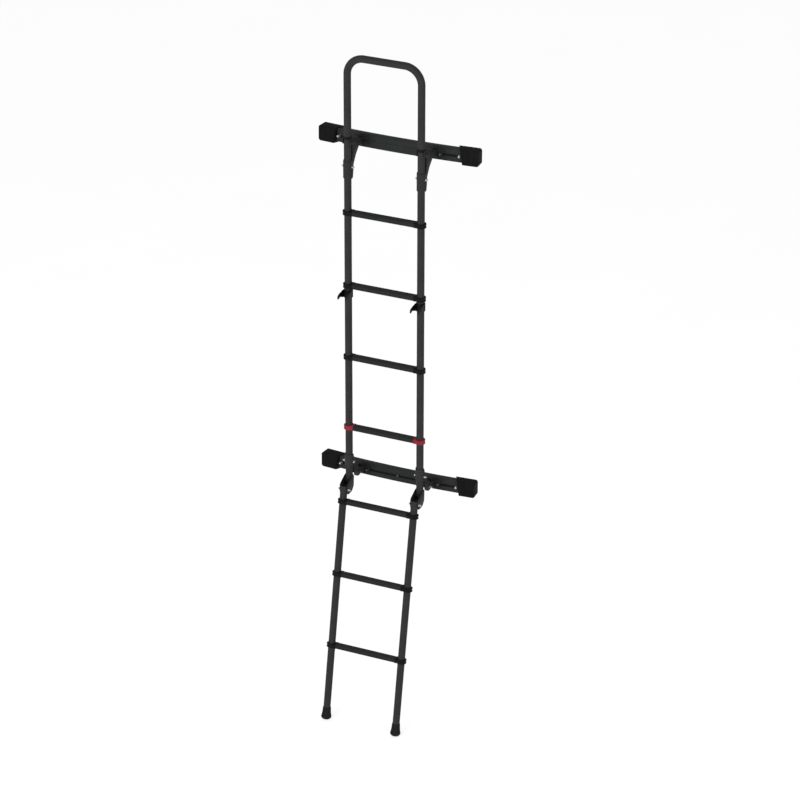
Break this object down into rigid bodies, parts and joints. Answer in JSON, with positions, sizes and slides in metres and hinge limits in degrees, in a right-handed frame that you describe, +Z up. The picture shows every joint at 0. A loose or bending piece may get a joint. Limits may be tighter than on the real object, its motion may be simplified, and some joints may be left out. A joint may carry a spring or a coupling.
{
  "type": "folding rear door ladder",
  "caption": "Folding ladder for a van's rear door: fixed upper section with handrail, hinged fold-up lower section, bowed slotted crossbeams with sliding rubber end pads.",
  "frame": {"origin": "middle of the upper crossbeam's rear face", "axes": "+X along the rungs to the right as seen from behind the vehicle, +Y towards the vehicle door, +Z up"},
  "size_m": [0.6562, 0.3924, 2.6928],
  "materials": {
    "charcoal_tube": "satin charcoal powder coat on aluminium tube",
    "charcoal_rung": "satin charcoal powder coat, ribbed tread",
    "charcoal_beam": "satin charcoal powder coat on an aluminium extrusion",
    "black_plastic": "fine moulded grain",
    "red_plastic": "fine moulded grain",
    "black_rubber": "matte moulded rubber",
    "black_steel": "black powder coat",
    "zinc_steel": "bright zinc plate"
  },
  "bodies": {
    "frame": {"hinge_bolt_left": "zinc_steel", "hinge_bolt_right": "zinc_steel", "hinge_bracket_left": "black_steel", "hinge_bracket_right": "black_steel", "hoop_joint_bolt_left": "zinc_steel", "hoop_joint_bolt_right": "zinc_steel", "lower_arm_bolt_left": "zinc_steel", "lower_arm_bolt_right": "zinc_steel", "lower_beam": "charcoal_beam", "lower_bracket_left": "black_steel", "lower_bracket_right": "black_steel", "lower_clamp_bolt_left": "zinc_steel", "lower_clamp_bolt_right": "zinc_steel", "lower_stile_bolt_left": "zinc_steel", "lower_stile_bolt_right": "zinc_steel", "rung_1": "charcoal_rung", "rung_1_collar_left": "black_plastic", "rung_1_collar_right": "black_plastic", "rung_2": "charcoal_rung", "rung_2_collar_left": "black_plastic", "rung_2_collar_right": "black_plastic", "rung_3": "charcoal_rung", "rung_3_collar_left": "black_plastic", "rung_3_collar_right": "black_plastic", "rung_4": "charcoal_rung", "rung_4_collar_left": "red_plastic", "rung_4_collar_right": "red_plastic", "stow_clip_left": "black_plastic", "stow_clip_right": "black_plastic", "top_hoop": "charcoal_tube", "upper_beam": "charcoal_beam", "upper_bracket_left": "black_steel", "upper_bracket_right": "black_steel", "upper_clamp_bolt_left": "zinc_steel", "upper_clamp_bolt_right": "zinc_steel", "upper_stile_bolt_left": "zinc_steel", "upper_stile_bolt_right": "zinc_steel", "upper_stile_left": "charcoal_tube", "upper_stile_right": "charcoal_tube"},
    "lower_section": {"foot_left": "black_rubber", "foot_right": "black_rubber", "lower_stile_left": "charcoal_tube", "lower_stile_right": "charcoal_tube", "rung_5": "charcoal_rung", "rung_5_collar_left": "black_plastic", "rung_5_collar_right": "black_plastic", "rung_6": "charcoal_rung", "rung_6_collar_left": "black_plastic", "rung_6_collar_right": "black_plastic", "rung_7": "charcoal_rung", "rung_7_collar_left": "black_plastic", "rung_7_collar_right": "black_plastic"},
    "upper_left_pad": {"upper_pad_left": "black_rubber", "upper_pad_bolt_left": "zinc_steel"},
    "upper_right_pad": {"upper_pad_right": "black_rubber", "upper_pad_bolt_right": "zinc_steel"},
    "lower_left_pad": {"lower_pad_left": "black_rubber", "lower_pad_bolt_left": "zinc_steel"},
    "lower_right_pad": {"lower_pad_right": "black_rubber", "lower_pad_bolt_right": "zinc_steel"}
  },
  "joints": [
    {"name": "lower_fold", "type": "hinge", "parent": "frame", "child": "lower_section", "pos_m": [0, -0.183, -1.381], "axis": [-1, 0, 0], "range_deg": [0, 169.64]},
    {"name": "upper_left_pad_slide", "type": "slide", "parent": "frame", "child": "upper_left_pad", "axis": [-0.9962, 0.0875, 0], "range_m": [-0.008, 0.025]},
    {"name": "upper_right_pad_slide", "type": "slide", "parent": "frame", "child": "upper_right_pad", "axis": [0.9962, 0.0875, 0], "range_m": [-0.008, 0.025]},
    {"name": "lower_left_pad_slide", "type": "slide", "parent": "frame", "child": "lower_left_pad", "axis": [-0.9962, 0.0875, 0], "range_m": [-0.008, 0.025]},
    {"name": "lower_right_pad_slide", "type": "slide", "parent": "frame", "child": "lower_right_pad", "axis": [0.9962, 0.0875, 0], "range_m": [-0.008, 0.025]}
  ]
}
